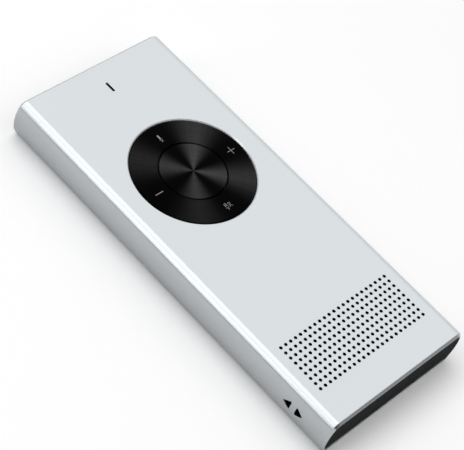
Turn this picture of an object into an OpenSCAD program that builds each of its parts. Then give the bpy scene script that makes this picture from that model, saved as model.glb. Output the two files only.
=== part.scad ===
// Handheld translator: extruded aluminium shell, round control pad, speaker, battery and board.
// Lies on its back: +Z out of the face, +Y towards the top end, origin at the centre of the back.

/* [Body] */
// Length from end to end
body_l = 121; // [115:1:133]
// Greatest width, across the bulging sides
body_w = 52.2; // [51:0.2:58]
// Thickness from back to face
body_t = 12.6; // [12.4:0.1:14]
// Radius of the bulging sides
side_r = 10.7; // [10:0.1:14]
// Height of the widest line above mid-thickness
side_rise = 0.3; // [0:0.1:0.6]
// Radius between the face and the sides
front_edge_r = 2.6; // [1.8:0.1:3]
// Radius between the sides and the back
back_edge_r = 0.7; // [0.65:0.05:0.8]
// Wall behind the face
front_wall_t = 1.3; // [1:0.1:1.5]
// Wall of the bulging sides
side_wall_t = 1.7; // [1.3:0.1:1.9]
// Radius inside the shell, between the face and the sides
inner_edge_r = 1; // [0.6:0.1:1.4]

/* [Back cover] */
// Distance from the widest line of a side to the edge of the cover
cover_inset = 3.05; // [2.9:0.05:3.6]
// Thickness of the cover
cover_t = 1; // [0.8:0.1:1.1]
// Width of the groove along each side of the cover
cover_gap = 0.3; // [0.2:0.05:0.4]
// Thickness of the tape that holds the cover
tape_t = 0.15; // [0.1:0.05:0.2]
// Width of the tape
tape_w = 2; // [1.4:0.1:2.2]
// Metal on each side of the black window, at the top end
window_inset = 3.25; // [2.6:0.05:6]
// How far each side of the window leans in towards its lower edge
window_taper = 2.9; // [0:0.1:4]
// Length of the black window
window_l = 11.2; // [9:0.1:14]
// Radius of the window's lower corners
window_r = 3; // [1.5:0.1:3.5]
// Gap round the window
window_gap = 0.05; // [0.03:0.01:0.1]
// Width of the window's hidden rim
window_rim = 1; // [0.6:0.1:1.4]
// Thickness of the window's hidden rim
window_rim_t = 0.6; // [0.4:0.1:0.8]

/* [End caps] */
// Bevel round the shell's two ends
end_bevel = 0.65; // [0.4:0.05:0.65]
// Lip that the shell leaves round a cap
end_lip = 0.8; // [0.7:0.05:1]
// How far the caps sit behind the shell's ends
cap_sink = 0.25; // [0.1:0.05:0.6]
// Bevel round a cap's face
cap_bevel = 0.2; // [0.1:0.05:0.25]
// Thickness of a cap's plate
cap_t = 1.6; // [1:0.1:2]
// Depth of the hollow spigot behind the plate
cap_spigot = 3.6; // [3:0.1:4.5]
// Wall of the spigot
cap_wall = 1; // [0.8:0.1:1.4]
// Gap between a cap and the shell
cap_gap = 0.12; // [0.05:0.01:0.2]
// Radius of the ridges that snap a cap into the shell
snap_r = 0.35; // [0.25:0.05:0.4]
// Length of a ridge
snap_l = 5; // [3:0.5:7]

/* [Indicator] */
// Distance from the top end to the middle of the slit
slit_from_top = 8.5; // [8.2:0.1:9.5]
// Length of the slit
slit_l = 3.5; // [2.5:0.1:5]
// Width of the slit
slit_w = 0.8; // [0.6:0.1:1.2]
// Clearance round the light guide
guide_fit = 0.05; // [0.03:0.01:0.08]
// Thickness of its flange
guide_flange_t = 0.5; // [0.4:0.05:0.7]
// Width of its flange, round the slit
guide_rim = 0.8; // [0.6:0.1:1]
// Height of the lamp under it
led_h = 0.6; // [0.4:0.1:0.8]

/* [Grille] */
// Distance from the bottom end to the middle of the grille
grille_from_bottom = 17.5; // [17.2:0.1:18.5]
// Distance between holes
grille_pitch = 1.8; // [1.6:0.1:2.2]
// Diameter of a hole
grille_hole_d = 0.96; // [0.8:0.02:1.2]
// Holes across the body
grille_columns = 23; // [15:2:23]
// Rows of holes along the body
grille_rows = 9; // [5:2:9]
// Thickness of the mesh behind the holes
mesh_t = 0.2; // [0.1:0.05:0.3]

/* [Strap eyelets] */
// Distance from the bottom end to the middle of the pair of holes
eyelet_from_bottom = 11.9; // [11.6:0.1:13]
// Height of the holes' middle above the back
eyelet_z = 6.9; // [6.2:0.1:7.2]
// Width of the bridge that the strap goes round
bridge_w = 1.8; // [1.4:0.1:2.2]
// Length of one triangular hole
eyelet_l = 2.4; // [2:0.1:2.6]
// Height of one triangular hole
eyelet_h = 2.9; // [2.4:0.1:3.2]
// Corner radius of the holes
eyelet_r = 0.35; // [0.2:0.05:0.45]
// Wall of the moulded pocket behind the holes
pocket_wall = 0.6; // [0.5:0.1:0.8]

/* [Control pad] */
// Distance from the top end to the middle of the pad
pad_from_top = 42.4; // [40:0.2:46]
// Radius of the round hole in the face
pad_r = 17.6; // [17.2:0.1:18]
// Bright bevel round that hole
pad_bevel = 0.3; // [0.2:0.05:0.5]
// Gap round the ring and round the button
key_gap = 0.2; // [0.15:0.05:0.3]
// How far the keys lie below the face
key_sink = 0.1; // [0:0.05:0.3]
// Thickness of the spun metal faces
key_face_t = 0.6; // [0.4:0.1:0.8]
// Bevel along the edges of those faces
key_edge = 0.2; // [0.05:0.05:0.3]
// Thickness of the moulded keys under them
key_body_t = 1.6; // [1.5:0.1:1.8]
// Radius of the centre button
button_r = 9.4; // [9:0.1:9.6]
// Travel of the centre button
button_travel = 0.3; // [0.2:0.05:0.35]
// Largest tilt of the ring, each way, in degrees
ring_tilt = 1; // [0.6:0.1:1]
// Thickness of the flanges that keep the keys in
flange_t = 0.5; // [0.4:0.05:0.6]
// Depth of the cup behind the pad
cup_h = 4.3; // [4.2:0.05:4.6]
// Wall of the cup
cup_wall = 1.2; // [0.9:0.1:1.4]
// Floor of the cup
cup_floor = 0.6; // [0.4:0.1:0.65]
// Play between the cup and the ring's flange
cup_play = 0.4; // [0.3:0.05:0.6]

/* [Ring pivots] */
// Radius of the pivot pins
pin_r = 0.4; // [0.3:0.05:0.45]
// Running clearance round the pins
pin_fit = 0.03; // [0.02:0.01:0.06]
// Inner radius of the pivot ring
pivot_in_r = 14.9; // [14.7:0.1:15]
// Width of the pivot ring
pivot_w = 1.4; // [1.1:0.1:1.4]
// Height of the pivot ring
pivot_h = 1.2; // [1:0.1:1.3]
// Wall round the pins' bores
lug_wall = 0.35; // [0.3:0.05:0.4]
// Length of each bearing
lug_l = 1.4; // [1:0.1:1.5]
// Side play between the pivot ring and a bearing
lug_play = 0.2; // [0.1:0.05:0.25]

/* [Button guide] */
// Outer radius of the guide hub
hub_r = 7.5; // [7:0.1:7.8]
// Wall of the guide hub
hub_wall = 1.2; // [0.9:0.1:1.5]
// Running clearance between the hub and the button's skirt
skirt_fit = 0.05; // [0.03:0.01:0.08]
// Wall of the button's skirt
skirt_wall = 0.9; // [0.7:0.1:1.1]
// Width of the keys that stop the button turning
guide_key_w = 1.2; // [0.9:0.1:1.6]

/* [Switches] */
// Distance from the pad's middle to the ring's domes
dome_ring_r = 12.2; // [12:0.1:12.4]
// Diameter of a dome
dome_d = 4; // [3.5:0.1:4.2]
// Height of a dome
dome_h = 0.35; // [0.25:0.05:0.4]
// Thickness of the domes' metal
dome_t = 0.08; // [0.06:0.01:0.1]
// Radius of the ring's plungers
plunger_r = 0.9; // [0.6:0.1:1.1]
// Least gap between a pressed plunger and its dome
plunger_play = 0.02; // [0.01:0.01:0.04]

/* [Board] */
// Thickness of the main board
board_t = 1; // [0.8:0.1:1.2]
// Board beyond the pad's cup, towards the bottom end
board_tail = 2; // [1.8:0.1:2.4]
// Gap between the board and the chassis
board_gap = 0.4; // [0.2:0.05:0.5]
// Width of the tongue that carries the charging port
tongue_w = 18; // [14:0.5:22]
// Distance from a side rail to the board screws
board_screw_inset = 4.3; // [3.8:0.1:4.8]
// Distance from the pad's middle to the board screws, towards the bottom end
board_screw_low = 18.1; // [17.6:0.1:18.4]
// Distance from the pad's middle to the board screws, towards the top end
board_screw_high = 26.1; // [24:0.5:28]

/* [Screws] */
// Radius of the chassis screws
screw_r = 0.8; // [0.7:0.05:1]
// Radius of their heads
screw_head_r = 1.4; // [1.2:0.05:1.5]
// Height of their heads
screw_head_h = 0.9; // [0.7:0.1:1.1]
// Clearance round the screws
screw_fit = 0.04; // [0.02:0.01:0.1]
// Radius of the shell's screw bosses
boss_r = 2.1; // [1.8:0.1:2.4]
// Radius of the board screws
board_screw_r = 0.6; // [0.5:0.05:0.7]
// Radius of their heads
board_head_r = 1.2; // [1:0.05:1.3]
// Height of their heads
board_head_h = 0.7; // [0.5:0.05:0.8]
// Length of the board screws below the board
board_screw_l = 3; // [2.4:0.1:3.4]

/* [Chassis] */
// Gap between the chassis and the shell's sides
chassis_gap = 0.1; // [0.05:0.05:0.2]
// Distance from the widest line of a side to a rail's inner face
rail_inset = 5.3; // [5.1:0.1:5.5]
// Height of the rails above the back
rail_top = 9; // [8.8:0.1:9.1]
// Thickness of the cross ribs
rib_t = 1.2; // [0.9:0.1:1.4]
// Thickness of the webs over the battery and behind the speaker
web_t = 0.8; // [0.6:0.1:1]

/* [Battery] */
// Space between the cell and a side rail
cell_side = 2.8; // [2.3:0.1:5.8]
// Thickness of the cell
cell_t = 6.6; // [5:0.1:6.7]
// Edge radius of the cell
cell_r = 1.5; // [0.8:0.1:2]
// Length of the terrace that carries its small board
terrace_l = 2.6; // [2.2:0.1:3]
// Distance from the cell's side to that terrace
terrace_inset = 2; // [1.5:0.1:3]
// Width of each strip of tape that holds the cell
strip_w = 6; // [4:0.5:8]
// Distance from the cell's side to the middle of a strip
strip_inset = 7.5; // [5:0.5:9]
// Distance from the cell's side to the leads
lead_inset = 6; // [5:0.5:8]
// Radius of the battery's leads
lead_r = 0.4; // [0.3:0.05:0.5]

/* [Speaker] */
// Space between the speaker and a strap pocket
speaker_side = 1.4; // [0.6:0.1:2.4]
// Its size along the body
speaker_l = 18; // [16:0.5:18]
// Height of its frame
speaker_h = 3.6; // [3.2:0.1:3.8]
// Thickness of the foam between the speaker and the mesh
gasket_t = 0.6; // [0.4:0.1:0.8]
// Wall of its frame
speaker_wall = 1.35; // [1.1:0.05:1.5]
// Radius of its magnet
magnet_r = 4; // [3.5:0.1:4.1]
// Thickness of its magnet
magnet_t = 1.3; // [1:0.1:1.5]
// Thickness of the cone's film
film_t = 0.25; // [0.2:0.01:0.3]
// Depth of the cone
cone_h = 0.9; // [0.7:0.05:1]
// Radius of the speaker's leads
speaker_lead_r = 0.3; // [0.2:0.05:0.35]

/* [Charging port] */
// Width of the socket
port_w = 7.5; // [7:0.1:8]
// Height of the socket
port_h = 2.5; // [2.3:0.1:2.8]
// Depth of the socket
port_l = 5.4; // [5:0.1:5.6]
// Metal of the socket
port_t = 0.3; // [0.2:0.05:0.35]
// How far the socket's mouth lies behind the shell's end
port_sink = 1; // [0.8:0.1:1.4]
// Gap between the socket and the cap's opening
port_gap = 0.25; // [0.15:0.05:0.4]
// Width of the contact tongue
contact_w = 3.8; // [3.4:0.1:4.4]
// Thickness of the contact tongue
contact_t = 0.6; // [0.5:0.05:0.7]

/* [Microphone] */
// Distance from the board's tongue to the microphone
mic_inset = 3.5; // [3:0.1:5]
// Size of the microphone, both ways
mic_w = 3; // [2.6:0.1:3.4]
// Height of the microphone
mic_h = 1; // [0.8:0.1:1.1]
// Radius of the sound hole
mic_hole_r = 0.5; // [0.3:0.05:0.6]
// Wall of the rubber boot
boot_wall = 0.8; // [0.6:0.05:0.9]

/* [Chips] */
// Width of the shield can
can_w = 18; // [15:0.5:20]
// Length of the shield can
can_l = 15; // [13:0.5:17]
// Height of the shield can
can_h = 1.9; // [1.5:0.1:2.2]
// Metal of the shield can
can_t = 0.2; // [0.15:0.05:0.3]
// Size of the processor, both ways
processor_w = 10; // [8:0.5:12]
// Height of the processor
processor_h = 1.1; // [0.8:0.1:1.2]
// Width of the memory
memory_w = 6; // [5:0.5:7]
// Length of the memory
memory_l = 8; // [6:0.5:9]
// Size of the power chip, both ways
power_w = 5; // [4:0.5:6]
// Height of the memory and the power chip
chip_h = 0.9; // [0.7:0.1:1]
// Length of a small part
passive_l = 1.6; // [1:0.1:2]
// Width of a small part
passive_w = 0.8; // [0.5:0.1:1]
// Distance between small parts
passive_pitch = 2.2; // [1.6:0.1:2.4]

/* [Antenna] */
// Distance from the window's lower corner to the end of the antenna
flex_inset = 1.9; // [1:0.1:4]
// Width of the antenna
flex_l = 4.2; // [3:0.1:5]
// Thickness of the antenna
flex_t = 0.2; // [0.1:0.05:0.25]
// Radius of its cable
cable_r = 0.4; // [0.3:0.05:0.5]

/* [Hidden] */
$fn = 96;
// Overshoot of a cut past the face it opens
cut = 0.5;
// Depth to which two shapes of one piece run into each other
bite = 0.3;

// The body's section
half_l = body_l / 2;
side_cx = body_w / 2 - side_r;
side_cz = body_t / 2 + side_rise;
front_in = body_t - front_wall_t;
inner_r = side_r - side_wall_t;
seat_z = cover_t + tape_t;
cover_w = body_w - 2 * cover_inset;
opening_x = cover_w / 2 + cover_gap;
rail_x = body_w / 2 - rail_inset;

// Along the body
pad_y = half_l - pad_from_top;
slit_y = half_l - slit_from_top;
grille_y = grille_from_bottom - half_l;
eyelet_y = eyelet_from_bottom - half_l;
window_y = half_l - window_l;
cap_plate_y = half_l - cap_sink - cap_t;
chassis_l = cap_plate_y - cap_spigot;
plate_low_r = 0.3;
snap_x = 0.4 * rail_x;
snap_fit = 0.08;
rim_gap = 0.2;

// Heights in the pad, from the face down
key_top = body_t - key_sink;
key_mid = key_top - key_face_t;
key_low = key_mid - key_body_t;
flange_top = key_low + flange_t;
board_top = front_in - cup_h;
board_low = board_top - board_t;
cup_floor_top = board_top + cup_floor;
dome_top = board_top + dome_h;
lug_h = 2 * (pin_r + lug_wall);
pivot_z = key_low - lug_h;

// Radii in the pad
ring_out_r = pad_r - key_gap;
ring_in_r = button_r + key_gap;
ring_flange_w = 0.8;
flange_r = pad_r + ring_flange_w;
pivot_out_r = pivot_in_r + pivot_w;
lug_in_r = pivot_out_r + lug_play;
lug_out_r = lug_in_r + lug_l;
cup_in_r = max(flange_r, lug_out_r) + cup_play;
cup_out_r = cup_in_r + cup_wall;
skirt_in_r = hub_r + skirt_fit;
skirt_out_r = skirt_in_r + skirt_wall;
button_flange_w = 0.9;
button_flange_r = button_r + button_flange_w;
ring_step_r = button_flange_r + cup_play;
ring_lip_t = 0.8;
ring_drop = (dome_ring_r + plunger_r) * sin(ring_tilt);

// Board
board_x = rail_x - board_gap;
board_screw_x = rail_x - board_screw_inset;
board_y0 = pad_y - cup_out_r - board_tail;
board_y1 = chassis_l - board_gap / 2;
port_y0 = half_l - port_sink - port_l;
tongue_y1 = cap_plate_y - 0.2;
port_z = board_top - board_t / 2;
port_mouth_w = port_w + 2 * port_gap;
port_mouth_h = port_h + 2 * port_gap;
mic_x = tongue_w / 2 + mic_inset;
mic_y1 = board_y1 - 0.4;
mic_y0 = mic_y1 - mic_w;
can_rise = 5;
can_y = pad_y + can_rise;
passive_drop = 9;

// Screw places: three towers along each rail, two board screws on each side
mesh_rim = 0.5;
mesh_fit = 0.2;
flat_x = fillet_x(inner_r - inner_edge_r, front_in - inner_edge_r);
boss_gap = 0.9;
tower_in = 0.9;
tower_slit = 5.8;
tower_r = 2.6;
tower_web = 1.4;
post_wall = 1.3;
ledge_w = 1.4;
board_rib_gap = 0.6;
tower_x = rail_x + tower_in;
mesh_l = (grille_rows - 1) * grille_pitch + grille_hole_d + 2 * mesh_rim;
mesh_w = min((grille_columns - 1) * grille_pitch + grille_hole_d + 2 * mesh_rim,
             2 * (flat_x - mesh_fit));
tower_y = [slit_y - tower_slit, board_y0 - board_rib_gap, grille_y + mesh_l / 2 + boss_r + boss_gap];
tower_web_z = rail_top - tower_web;
board_post_r = board_screw_r + post_wall;
board_screw_y = [pad_y - board_screw_low, pad_y + board_screw_high];

// Bays of the chassis, from the board towards the bottom end
rib_play = 0.3;
rib_a = board_y0 - board_rib_gap - rib_t;
speaker_y1 = grille_y + speaker_l / 2;
rib_b = speaker_y1 + rib_play;
rib_c = -chassis_l;
cell_y1 = rib_a - rib_play;
cell_y0 = rib_b + rib_t + 0.2;
cell_z1 = rail_top - web_t - tape_t;
cell_z0 = cell_z1 - cell_t;
cell_w = 2 * (rail_x - cell_side);
lead_x = cell_w / 2 - lead_inset;
lead_pitch = 1.5 * lead_r;

// Strap pockets
channel_fit = 0.1;
pocket_in = 0.4;
pocket_r = bridge_w / 2 + eyelet_l;
pocket_x = rail_x - pocket_in;
pocket_h = eyelet_h + 2 * pocket_wall + 2 * channel_fit;
pocket_l = 2 * (pocket_r + pocket_wall);

// Speaker, from the mesh down
gasket_top = front_in - mesh_t;
speaker_top = gasket_top - gasket_t;
speaker_z = speaker_top - speaker_h;
speaker_w = 2 * (pocket_x - speaker_side);
cone_r = speaker_l / 2 - speaker_wall;
cone_c = (speaker_w - speaker_l) / 2;
cone_rim = 0.6;
cone_sink = 0.7;
cone_z = speaker_top - cone_sink;
cone_low = cone_z - cone_h;
roll_r = 0.8;
roll_c = cone_r - cone_rim - roll_r;
coil_t = 0.25;
coil_play = 0.45;
coil_r = magnet_r + coil_play;
yoke_play = 0.3;
yoke_wall = 1.2;
yoke_in_r = coil_r + coil_t + yoke_play;
yoke_out_r = yoke_in_r + yoke_wall;
yoke_floor = 0.6;
yoke_drop = 0.4;
pole_rise = 0.6;
vent_pitch = 2.4;
yoke_z = speaker_z - magnet_t - yoke_floor - yoke_drop;

// Window and antenna
window_top_w = cover_w - 2 * window_inset;
window_low_w = window_top_w - 2 * window_taper;
flex_x = window_low_w / 2 - flex_inset;
flex_y1 = chassis_l - rib_t - 2 * rim_gap;
flex_z = cover_t + window_rim_t;
cable_inset = 2;
cable_x = cable_inset - flex_x;

// ---------- shapes ----------

// Middle of a fillet that touches the bulging side from inside, at height z
function fillet_x(reach, z) = side_cx + sqrt(pow(reach, 2) - pow(z - side_cz, 2));

// The body's section at a given side radius, between two heights
module section(r_side, z_low, z_high, r_high, r_low) {
    hz = z_high - r_high;
    lz = z_low + r_low;
    hx = fillet_x(r_side - r_high, hz);
    lx = fillet_x(r_side - r_low, lz);
    ha = atan2(hz - side_cz, hx - side_cx);
    la = atan2(lz - side_cz, lx - side_cx);
    for (s = [0, 1]) mirror([s, 0]) {
        polygon([[0, z_low], [lx, z_low], [lx, lz], [hx, hz], [hx, z_high], [0, z_high]]);
        translate([hx, hz]) circle(r_high);
        translate([lx, lz]) circle(r_low);
        intersection() {
            translate([side_cx, side_cz]) circle(r_side);
            translate([side_cx, side_cz])
                polygon([[0, 0], for (a = [la, (la + ha) / 2, ha]) 2 * r_side * [cos(a), sin(a)]]);
        }
    }
}

// The same section as a slab that tapers by its own thickness t all round, drawn in X and Y
module section_bevel(r_side, z_low, z_high, r_high, r_low, t) {
    hz = z_high - r_high;
    lz = z_low + r_low;
    hx = fillet_x(r_side - r_high, hz);
    lx = fillet_x(r_side - r_low, lz);
    ha = atan2(hz - side_cz, hx - side_cx);
    la = atan2(lz - side_cz, lx - side_cx);
    for (s = [0, 1]) mirror([s, 0, 0]) {
        linear_extrude(t) polygon([[0, z_low + t], [lx, z_low + t], [lx, lz], [hx, hz],
                                   [hx, z_high - t], [0, z_high - t]]);
        // The straight edges' slopes
        translate([-bite, 0, 0]) rotate([90, 0, 90]) {
            linear_extrude(hx + bite) polygon([[z_high - 2 * t, 0], [z_high, 0], [z_high - t, t],
                                               [z_high - 2 * t, t]]);
            linear_extrude(lx + bite) polygon([[z_low + 2 * t, 0], [z_low, 0], [z_low + t, t],
                                               [z_low + 2 * t, t]]);
        }
        translate([hx, hz, 0]) cylinder(r1 = r_high, r2 = r_high - t, h = t);
        translate([lx, lz, 0]) cylinder(r1 = r_low, r2 = max(r_low - t, 0.01), h = t);
        translate([side_cx, side_cz, 0]) intersection() {
            cylinder(r1 = r_side, r2 = r_side - t, h = t);
            linear_extrude(t)
                polygon([[0, 0], for (a = [la, (la + ha) / 2, ha]) 2 * r_side * [cos(a), sin(a)]]);
        }
    }
}

// Extrudes a section drawn in X and Z along Y
module along_y(y0, y1) {
    translate([0, y1, 0]) rotate([90, 0, 0]) linear_extrude(y1 - y0) children();
}

// Stands a slab drawn in X and Y on the plane at y, facing +Y
module facing_y(y) {
    translate([0, y, 0]) mirror([0, 1, 0]) rotate([90, 0, 0]) children();
}

// A polygon with each corner rounded about its point
module rounded(points, r) {
    polygon(points);
    for (i = [0 : len(points) - 1]) {
        edge = points[(i + 1) % len(points)] - points[i];
        translate(points[i]) {
            circle(r);
            rotate(atan2(edge[1], edge[0])) translate([0, -r]) square([norm(edge), 2 * r]);
        }
    }
}

// A rectangle with round corners, centred
module round_rect(w, l, r) {
    square([w - 2 * r, l], center = true);
    square([w, l - 2 * r], center = true);
    for (x = [-1, 1], y = [-1, 1]) translate([x * (w / 2 - r), y * (l / 2 - r)]) circle(r);
}

// A slot with round ends, centred, long way along X
module slot(l, w) {
    square([l - w, w], center = true);
    for (s = [-1, 1]) translate([s * (l - w) / 2, 0]) circle(d = w);
}

module disc(r, z0, z1) {
    translate([0, 0, z0]) cylinder(r = r, h = z1 - z0);
}

module tube(r_out, r_in, z0, z1) {
    difference() {
        disc(r_out, z0, z1);
        disc(r_in, z0 - cut, z1 + cut);
    }
}

module prism(z0, z1) {
    translate([0, 0, z0]) linear_extrude(z1 - z0) children();
}

// A box between two corners
module block(low, high) {
    translate(low) cube(high - low);
}

// A round wire through a list of points
module wire(points, r) {
    for (i = [0 : len(points) - 2]) {
        way = points[i + 1] - points[i];
        translate(points[i])
            rotate([0, acos(way[2] / norm(way)), atan2(way[1], way[0])])
                cylinder(r = r, h = norm(way), $fn = 24);
    }
    for (i = [1 : len(points) - 2]) translate(points[i]) sphere(1.08 * r, $fn = 24);
}

module at_pad() {
    translate([0, pad_y, 0]) children();
}

// The four places under the icons, with X turned outwards
module at_icons() {
    for (a = [0, 90, 180, 270]) rotate(a) translate([dome_ring_r, 0, 0]) children();
}

// A round bar that lies outwards from the pad's middle, at the pivots' height
module spoke(r, r0, r1) {
    translate([r0, 0, pivot_z]) rotate([0, 90, 0]) cylinder(r = r, h = r1 - r0, $fn = 48);
}

module at_towers() {
    for (x = [-1, 1], y = tower_y) translate([x * tower_x, y, 0]) children();
}

module at_board_screws() {
    for (x = [-1, 1], y = board_screw_y) translate([x * board_screw_x, y, 0]) children();
}

// ---------- housing ----------

module grille_holes() {
    span_x = (grille_columns - 1) * grille_pitch;
    span_y = (grille_rows - 1) * grille_pitch;
    for (i = [0 : grille_columns - 1], j = [0 : grille_rows - 1])
        translate([i * grille_pitch - span_x / 2, grille_y + j * grille_pitch - span_y / 2,
                   front_in - cut])
            cylinder(d = grille_hole_d, h = front_wall_t + 2 * cut, $fn = 24);
}

// Two triangles, base to base across the bridge, drawn in Y and Z and cut along X
module eyelet_holes() {
    near = bridge_w / 2 + eyelet_r;
    far = bridge_w / 2 + eyelet_l - eyelet_r;
    rise = eyelet_h / 2 - eyelet_r;
    translate([0, eyelet_y, eyelet_z]) rotate([90, 0, 90])
        for (s = [-1, 1])
            translate([0, 0, s * (body_w / 2 - side_wall_t)])
                linear_extrude(2 * side_wall_t + 2 * cut, center = true)
                    for (m = [0, 1]) mirror([m, 0])
                        rounded([[near, -rise], [near, rise], [far, 0]], eyelet_r, $fn = 24);
}

// The shell's outside, with a bevel round each end
module shell_body() {
    straight = half_l - end_bevel;
    along_y(-straight, straight) section(side_r, 0, body_t, front_edge_r, back_edge_r);
    for (m = [0, 1]) mirror([0, m, 0]) facing_y(straight)
        section_bevel(side_r, 0, body_t, front_edge_r, back_edge_r, end_bevel);
}

// The section of a cap's plate, or with gap = 0 of the recess in the shell that takes it
module plate_section(gap) {
    section(side_r - end_lip - gap, cover_t, body_t - end_lip - gap, front_edge_r - end_lip - gap,
            plate_low_r);
}

// The two ridges that snap the cap in at the top end
module cap_snaps(r, l) {
    for (s = [-1, 1])
        translate([s * snap_x - l / 2, chassis_l + 2 * snap_r, front_in - cap_gap])
            rotate([0, 90, 0]) cylinder(r = r, h = l, $fn = 32);
}

module front_shell() {
    color("gainsboro") difference() {
        union() {
            difference() {
                shell_body();
                along_y(-half_l - cut, half_l + cut) {
                    section(inner_r, seat_z, front_in, inner_edge_r, 0.2);
                    translate([-opening_x, -cut]) square([2 * opening_x, seat_z + cut]);
                }
            }
            at_towers() disc(boss_r, rail_top, front_in + bite);
        }
        for (m = [0, 1]) mirror([0, m, 0]) {
            along_y(cap_plate_y, half_l + cut) plate_section(0);
            cap_snaps(snap_r + snap_fit, snap_l + 4 * snap_fit);
        }
        at_towers() disc(screw_r + screw_fit, rail_top - cut, front_in - 0.3, $fn = 48);
        at_pad() disc(pad_r, front_in - cut, body_t + cut);
        at_pad() translate([0, 0, body_t - pad_bevel])
            cylinder(r1 = pad_r, r2 = pad_r + 2 * pad_bevel, h = 2 * pad_bevel);
        translate([0, slit_y, 0]) rotate(90) prism(front_in - cut, body_t + cut) slot(slit_l, slit_w);
        grille_holes();
        eyelet_holes();
    }
}

// The window's outline, drawn smaller by gap: its lower corners are round
module window_outline(gap, y1) {
    top = window_top_w / 2 - gap;
    low = window_low_w / 2 - gap;
    y0 = window_y + gap;
    r = window_r - gap;
    lean = atan2(top - low, half_l - window_y);
    cx = low - r * tan((90 - lean) / 2);
    x1 = low + (y1 - y0) * tan(lean);
    for (s = [0, 1]) mirror([s, 0]) {
        polygon([[0, y0], [cx, y0], [cx, y0 + r], [cx + r * cos(lean), y0 + r - r * sin(lean)],
                 [x1, y1], [0, y1]]);
        intersection() {
            translate([cx, y0 + r]) circle(r);
            translate([cx - r, y0]) square([2 * r, r]);
        }
    }
}

// The cover's plate before the window is cut out, bevelled at the ends like the shell
module cover_slab() {
    bevel = min(end_bevel, cover_t - 0.1);
    straight = half_l - bevel;
    rotate([90, 0, 90]) linear_extrude(cover_w, center = true)
        polygon([[-half_l, cover_t], [-half_l, bevel], [-straight, 0], [straight, 0],
                 [half_l, bevel], [half_l, cover_t]]);
}

module back_cover() {
    color("gainsboro") difference() {
        cover_slab();
        prism(-cut, cover_t + cut) window_outline(0, half_l + cut);
    }
}

module cover_tape() {
    color("black") for (s = [-1, 1])
        translate([s * (rail_x + tape_w / 2), 0, 0]) prism(cover_t, seat_z)
            translate([-tape_w / 2, -chassis_l]) square([tape_w, 2 * chassis_l]);
}

module antenna_window() {
    rim_y = chassis_l - rib_t - rim_gap;
    color("#181c1f") union() {
        intersection() {
            cover_slab();
            prism(-cut, cover_t + cut) window_outline(window_gap, half_l + cut);
        }
        prism(cover_t - 0.1, cover_t + 0.1) window_outline(window_gap, rim_y);
        prism(cover_t, cover_t + window_rim_t) window_outline(-window_rim, rim_y);
    }
}

// A cap's body: a plate in the shell's recess, a hollow spigot behind it and two snap ridges
module cap_body() {
    outer_r = inner_r - cap_gap;
    outer_z = front_in - cap_gap;
    rim_y = half_l - cap_sink - cap_bevel;
    rim_in = end_lip + cap_gap;
    difference() {
        union() {
            along_y(chassis_l, cap_plate_y + bite)
                section(outer_r, cover_t, outer_z, inner_edge_r, 0.2);
            along_y(cap_plate_y, rim_y) plate_section(cap_gap);
            facing_y(rim_y) section_bevel(side_r - rim_in, cover_t, body_t - rim_in,
                                          front_edge_r - rim_in, plate_low_r, cap_bevel);
            cap_snaps(snap_r, snap_l);
        }
        along_y(chassis_l - cut, cap_plate_y)
            section(outer_r - cap_wall, cover_t + cap_wall, outer_z - cap_wall,
                    inner_edge_r / 2, 0.2);
    }
}

module bottom_end_cap() {
    color("#262b2a") mirror([0, 1, 0]) cap_body();
}

module top_end_cap() {
    color("#262b2a") difference() {
        cap_body();
        translate([0, 0, port_z]) along_y(cap_plate_y - cut, half_l + cut)
            round_rect(port_mouth_w, port_mouth_h, 0.8);
        translate([mic_x, 0, port_z]) along_y(cap_plate_y - cut, half_l + cut)
            circle(mic_hole_r, $fn = 32);
    }
}

// A bar in the slit, a flange behind the face and a foot that reaches down to the lamp
module light_guide() {
    flange_z = front_in - guide_flange_t;
    color("#303436") translate([0, slit_y, 0]) rotate(90) union() {
        prism(flange_z, body_t - guide_fit) slot(slit_l - 2 * guide_fit, slit_w - 2 * guide_fit);
        prism(flange_z, front_in) slot(slit_l + 2 * guide_rim, slit_w + 2 * guide_rim);
        prism(board_top + led_h + bite, flange_z + bite)
            slot(slit_l - guide_rim, slit_w + guide_rim / 2);
    }
}

module grille_mesh() {
    color("#15181a") translate([0, grille_y, 0]) prism(gasket_top, front_in)
        round_rect(mesh_w, mesh_l, 0.6);
}

// ---------- strap pockets ----------

// Space for one pocket, reaching from the shell's wall into the body
module pocket_space() {
    block([pocket_x, eyelet_y - pocket_l / 2, eyelet_z - pocket_h / 2],
          [body_w / 2, eyelet_y + pocket_l / 2, eyelet_z + pocket_h / 2]);
}

// The strap goes in one hole, round the bridge in a half-turn channel and out of the other
module strap_pocket() {
    wall_x = side_cx + inner_r;
    intersection() {
        difference() {
            pocket_space();
            translate([wall_x, eyelet_y, eyelet_z]) rotate_extrude()
                translate([bridge_w / 2, -eyelet_h / 2 - channel_fit])
                    square([wall_x - pocket_x - pocket_wall - bridge_w / 2,
                            eyelet_h + 2 * channel_fit]);
        }
        along_y(eyelet_y - pocket_l, eyelet_y + pocket_l)
            section(inner_r - chassis_gap / 2, seat_z, front_in, inner_edge_r, 0.2);
    }
}

module strap_pocket_right() {
    color("#141414") strap_pocket();
}

module strap_pocket_left() {
    color("#141414") mirror([1, 0, 0]) strap_pocket();
}

// ---------- chassis ----------

// A bar from rail to rail
module crossbar(y0, y1, z0, z1) {
    block([-rail_x - bite, y0, z0], [rail_x + bite, y1, z1]);
}

module chassis_screw_space() {
    at_towers() {
        disc(screw_head_r + 0.2, seat_z - cut, tower_web_z, $fn = 48);
        disc(screw_r + screw_fit, tower_web_z - cut, rail_top + cut, $fn = 48);
    }
}

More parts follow.
